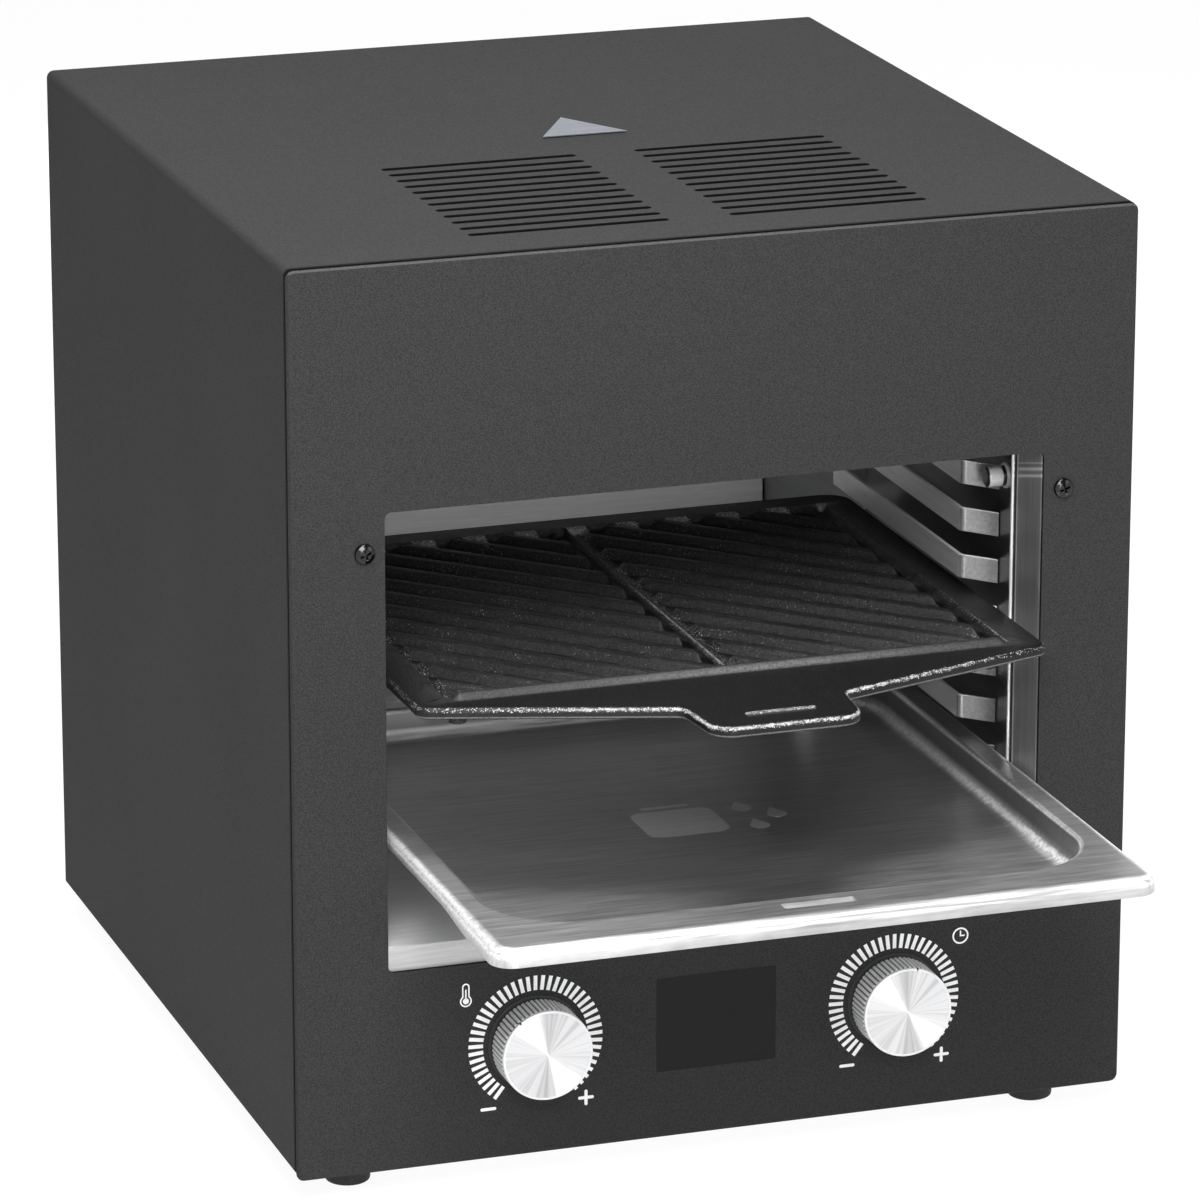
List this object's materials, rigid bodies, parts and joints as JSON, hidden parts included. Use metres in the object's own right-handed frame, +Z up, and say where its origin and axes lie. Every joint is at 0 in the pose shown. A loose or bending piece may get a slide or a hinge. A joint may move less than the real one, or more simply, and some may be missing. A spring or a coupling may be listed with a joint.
{
  "type": "infrared electric broiler",
  "caption": "Box-shaped electric broiler with overhead heat, an open-fronted cavity with rack rails, a cast grill plate, a drip tray, knobs and a display.",
  "frame": {"origin": "middle of the bounding box at the level of the feet's soles", "axes": "+X to the user's right, +Y from the opening to the rear, +Z up"},
  "size_m": [0.345, 0.4926, 0.3772],
  "materials": {
    "coated_steel": "black fine-textured powder coat",
    "badge": "fine brushed, pale",
    "dark_screws": "dark nickel, glossy",
    "zinc_plated": "zinc-plated sheet",
    "cavity_steel": "stainless sheet, fine grain",
    "jamb_steel": "brushed stainless with a polished hem",
    "rail_steel": "brushed stainless strip",
    "polished_steel": "bright polished",
    "ceramic_holder": "unglazed ceramic",
    "encoder_metal": "plain turned and pressed steel",
    "spun_aluminium": "spun face, fluted side",
    "rubber_feet": "matt moulded rubber",
    "quartz_tube": "clear fused quartz",
    "insulation": "mineral wool",
    "black_plastic": "moulded, fine grain",
    "circuit_board": "green solder resist",
    "display_window": "smoked, satin",
    "pale_plastic": "moulded",
    "cast_plate": "black coat with fine pale specks",
    "tray_steel": "brushed along its width, bright rolled edge",
    "printed_marks": "white screen print"
  },
  "bodies": {
    "casing": {"base_plate": "zinc_plated", "cavity_back_wall": "cavity_steel", "cavity_ceiling": "cavity_steel", "cavity_floor": "cavity_steel", "cavity_wall_left": "cavity_steel", "cavity_wall_right": "cavity_steel", "control_board": "circuit_board", "display_module": "black_plastic", "display_window": "display_window", "encoder_left": "encoder_metal", "encoder_right": "encoder_metal", "foot_front_left": "rubber_feet", "foot_front_right": "rubber_feet", "foot_rear_left": "rubber_feet", "foot_rear_right": "rubber_feet", "front_panel": "coated_steel", "front_screw_left": "dark_screws", "front_screw_right": "dark_screws", "heater_tube_1": "quartz_tube", "heater_tube_2": "quartz_tube", "heater_tube_3": "quartz_tube", "heater_tube_4": "quartz_tube", "insulation_top": "insulation", "jamb_left": "jamb_steel", "jamb_right": "jamb_steel", "power_board": "circuit_board", "power_inlet": "black_plastic", "rack_bolt_left": "polished_steel", "rack_bolt_right": "polished_steel", "rail_left_1": "rail_steel", "rail_left_2": "rail_steel", "rail_left_3": "rail_steel", "rail_left_4": "rail_steel", "rail_left_5": "rail_steel", "rail_left_6": "rail_steel", "rail_left_7": "rail_steel", "rail_right_1": "rail_steel", "rail_right_2": "rail_steel", "rail_right_3": "rail_steel", "rail_right_4": "rail_steel", "rail_right_5": "rail_steel", "rail_right_6": "rail_steel", "rail_right_7": "rail_steel", "rear_panel": "coated_steel", "reflector_hood": "polished_steel", "temperature_probe": "polished_steel", "terminal_block": "pale_plastic", "thermal_cutout": "black_plastic", "top_badge": "badge", "tube_holder_left": "ceramic_holder", "tube_holder_right": "ceramic_holder", "wrap_casing": "coated_steel"},
    "left_knob": {"knob_left": "spun_aluminium", "encoder_shaft_left": "encoder_metal"},
    "right_knob": {"knob_right": "spun_aluminium", "encoder_shaft_right": "encoder_metal"},
    "grill_plate": {"grill_plate": "cast_plate"},
    "drip_tray": {"drip_tray": "tray_steel"}
  },
  "joints": [
    {"name": "left_knob_turn", "type": "hinge", "parent": "casing", "child": "left_knob", "pos_m": [-0.075, -0.1163, 0.058], "axis": [0, 1, 0], "range_deg": [-104, 180]},
    {"name": "right_knob_turn", "type": "hinge", "parent": "casing", "child": "right_knob", "pos_m": [0.075, -0.1163, 0.058], "axis": [0, 1, 0], "range_deg": [-154, 130]},
    {"name": "grill_plate_slide", "type": "slide", "parent": "casing", "child": "grill_plate", "axis": [0, -1, 0], "range_m": [-0.08, 0.125]},
    {"name": "drip_tray_slide", "type": "slide", "parent": "casing", "child": "drip_tray", "axis": [0, -1, 0], "range_m": [-0.118, 0.105]}
  ]
}
